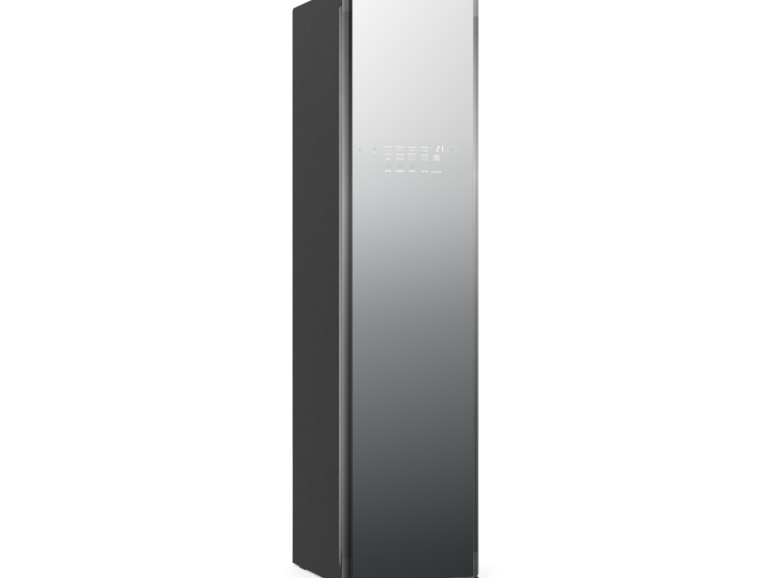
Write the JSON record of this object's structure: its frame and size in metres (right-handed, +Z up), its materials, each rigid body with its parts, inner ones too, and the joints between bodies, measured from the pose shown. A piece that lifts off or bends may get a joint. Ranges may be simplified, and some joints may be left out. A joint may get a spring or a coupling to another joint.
{
  "type": "clothes care steam cabinet",
  "caption": "Tall slim steam cabinet for clothes with a mirror door, a side finger pocket, a moving hanger bar, a trouser press and two water tanks.",
  "frame": {"origin": "on the floor under the middle of the cabinet's box", "axes": "+Z up, -Y towards the front (door), +X to the right seen from the front"},
  "size_m": [0.445, 0.585, 1.85],
  "materials": {
    "case_paint": "satin charcoal enamel",
    "zinc_sheet": "zinc coated sheet",
    "dark_moulding": "fine grain",
    "liner_moulding": "satin",
    "lamp_lens": "frosted",
    "foam": "closed cell foam",
    "bay_moulding": "satin",
    "coil_metal": "mill finish",
    "motor_black": "gloss black",
    "copper": "bright copper",
    "boiler_steel": "brushed",
    "pump_plastic": "satin",
    "hose_rubber": "satin",
    "mirror_glass": "polished, light at the top and dark at the foot",
    "profile_metal": "satin dark anodised",
    "grip_metal": "satin anodised",
    "cap_moulding": "metallic paint",
    "display_board": "board",
    "gasket_rubber": "soft",
    "press_moulding": "satin",
    "clamp_plastic": "satin",
    "tank_plastic": "translucent",
    "bar_steel": "brushed",
    "bush_brass": "turned"
  },
  "bodies": {
    "cabinet": {"left_side_panel": "case_paint", "right_side_panel": "case_paint", "top_panel": "case_paint", "rear_panel": "zinc_sheet", "service_cover": "zinc_sheet", "base_frame": "zinc_sheet", "front_frame": "dark_moulding", "kick_plate": "dark_moulding", "cabin_liner": "liner_moulding", "shelf_ledges": "liner_moulding", "ceiling_cover": "liner_moulding", "cabin_lamp": "lamp_lens", "insulation": "foam", "tank_bay": "bay_moulding", "hinge_brackets": "zinc_sheet", "hinge_cover": "case_paint", "rear_feet": "dark_moulding", "cord_gland": "dark_moulding", "floor_grille": "liner_moulding", "steam_nozzle": "bay_moulding", "drive_bracket": "zinc_sheet", "gear_motor": "dark_moulding", "machine_deck": "zinc_sheet", "evaporator": "coil_metal", "condenser": "coil_metal", "blower_housing": "bay_moulding", "blower_motor": "motor_black", "compressor": "motor_black", "refrigerant_pipes": "copper", "steam_generator": "boiler_steel", "water_pumps": "pump_plastic", "water_hoses": "hose_rubber", "control_box": "dark_moulding"},
    "door": {"door_glass": "mirror_glass", "left_door_frame": "profile_metal", "right_door_frame": "profile_metal", "top_door_cap": "cap_moulding", "bottom_door_cap": "cap_moulding", "door_foam": "foam", "display_module": "display_board", "door_gasket": "gasket_rubber", "door_back_panel": "liner_moulding", "grip_rail": "grip_metal", "press_base": "press_moulding", "hinge_bushes": "bush_brass"},
    "press_plate": {"press_plate": "press_moulding"},
    "trouser_clamp": {"trouser_clamp": "clamp_plastic"},
    "supply_tank": {"supply_tank": "tank_plastic"},
    "drain_tank": {"drain_tank": "tank_plastic"},
    "left_front_foot": {"left_front_foot": "dark_moulding"},
    "right_front_foot": {"right_front_foot": "dark_moulding"},
    "lint_filter": {"lint_filter": "bay_moulding"},
    "scent_cassette": {"scent_cassette": "bay_moulding"},
    "shelf": {"shelf": "liner_moulding"},
    "hanger_bar": {"hanger_bar": "bar_steel"},
    "crank": {"crank": "bar_steel"},
    "hanger_1": {"hanger_1": "clamp_plastic"},
    "hanger_2": {"hanger_2": "clamp_plastic"},
    "hanger_3": {"hanger_3": "clamp_plastic"},
    "blower_wheel": {"blower_wheel": "pump_plastic"}
  },
  "joints": [
    {"name": "door_hinge", "type": "hinge", "parent": "cabinet", "child": "door", "pos_m": [0.2085, -0.2765, 0.9], "axis": [0, 0, 1], "range_deg": [0, 115]},
    {"name": "press_hinge", "type": "hinge", "parent": "door", "child": "press_plate", "pos_m": [0.158, -0.225, 1.045], "axis": [0, 0, -1], "range_deg": [0, 90]},
    {"name": "clamp_hinge", "type": "hinge", "parent": "door", "child": "trouser_clamp", "pos_m": [0, -0.2305, 1.486], "axis": [1, 0, 0], "range_deg": [0, 30]},
    {"name": "supply_tank_slide", "type": "slide", "parent": "cabinet", "child": "supply_tank", "axis": [0, -1, 0], "range_m": [0, 0.04]},
    {"name": "drain_tank_slide", "type": "slide", "parent": "cabinet", "child": "drain_tank", "axis": [0, -1, 0], "range_m": [0, 0.04]},
    {"name": "left_foot_turn", "type": "hinge", "parent": "cabinet", "child": "left_front_foot", "pos_m": [-0.185, -0.212, 0], "axis": [0, 0, 1], "continuous": true},
    {"name": "right_foot_turn", "type": "hinge", "parent": "cabinet", "child": "right_front_foot", "pos_m": [0.185, -0.212, 0], "axis": [0, 0, 1], "continuous": true},
    {"name": "lint_filter_lift", "type": "slide", "parent": "cabinet", "child": "lint_filter", "axis": [0, 0, 1], "range_m": [0, 0.06]},
    {"name": "scent_cassette_lift", "type": "slide", "parent": "cabinet", "child": "scent_cassette", "axis": [0, 0, 1], "range_m": [0, 0.05]},
    {"name": "shelf_lift", "type": "slide", "parent": "cabinet", "child": "shelf", "axis": [0, 0, 1], "range_m": [0, 0.08]},
    {"name": "hanger_bar_slide", "type": "slide", "parent": "cabinet", "child": "hanger_bar", "axis": [1, 0, 0], "range_m": [-0.012, 0.012]},
    {"name": "crank_turn", "type": "hinge", "parent": "cabinet", "child": "crank", "pos_m": [0, 0.01, 1.74], "axis": [0, 0, -1], "range_deg": [-60, 60]},
    {"name": "blower_spin", "type": "hinge", "parent": "cabinet", "child": "blower_wheel", "pos_m": [-0.048, 0.098, 0.25], "axis": [0, 0, 1], "continuous": true},
    {"name": "hanger_swing_1", "type": "hinge", "parent": "hanger_bar", "child": "hanger_1", "pos_m": [-0.11, 0.01, 1.66], "axis": [1, 0, 0], "range_deg": [-12, 12]},
    {"name": "hanger_swing_2", "type": "hinge", "parent": "hanger_bar", "child": "hanger_2", "pos_m": [0, 0.01, 1.66], "axis": [1, 0, 0], "range_deg": [-12, 12]},
    {"name": "hanger_swing_3", "type": "hinge", "parent": "hanger_bar", "child": "hanger_3", "pos_m": [0.11, 0.01, 1.66], "axis": [1, 0, 0], "range_deg": [-12, 12]}
  ],
  "couplings": [
    {"joint": "crank_turn", "follows": "hanger_bar_slide", "rad_per_m": 85.81}
  ]
}
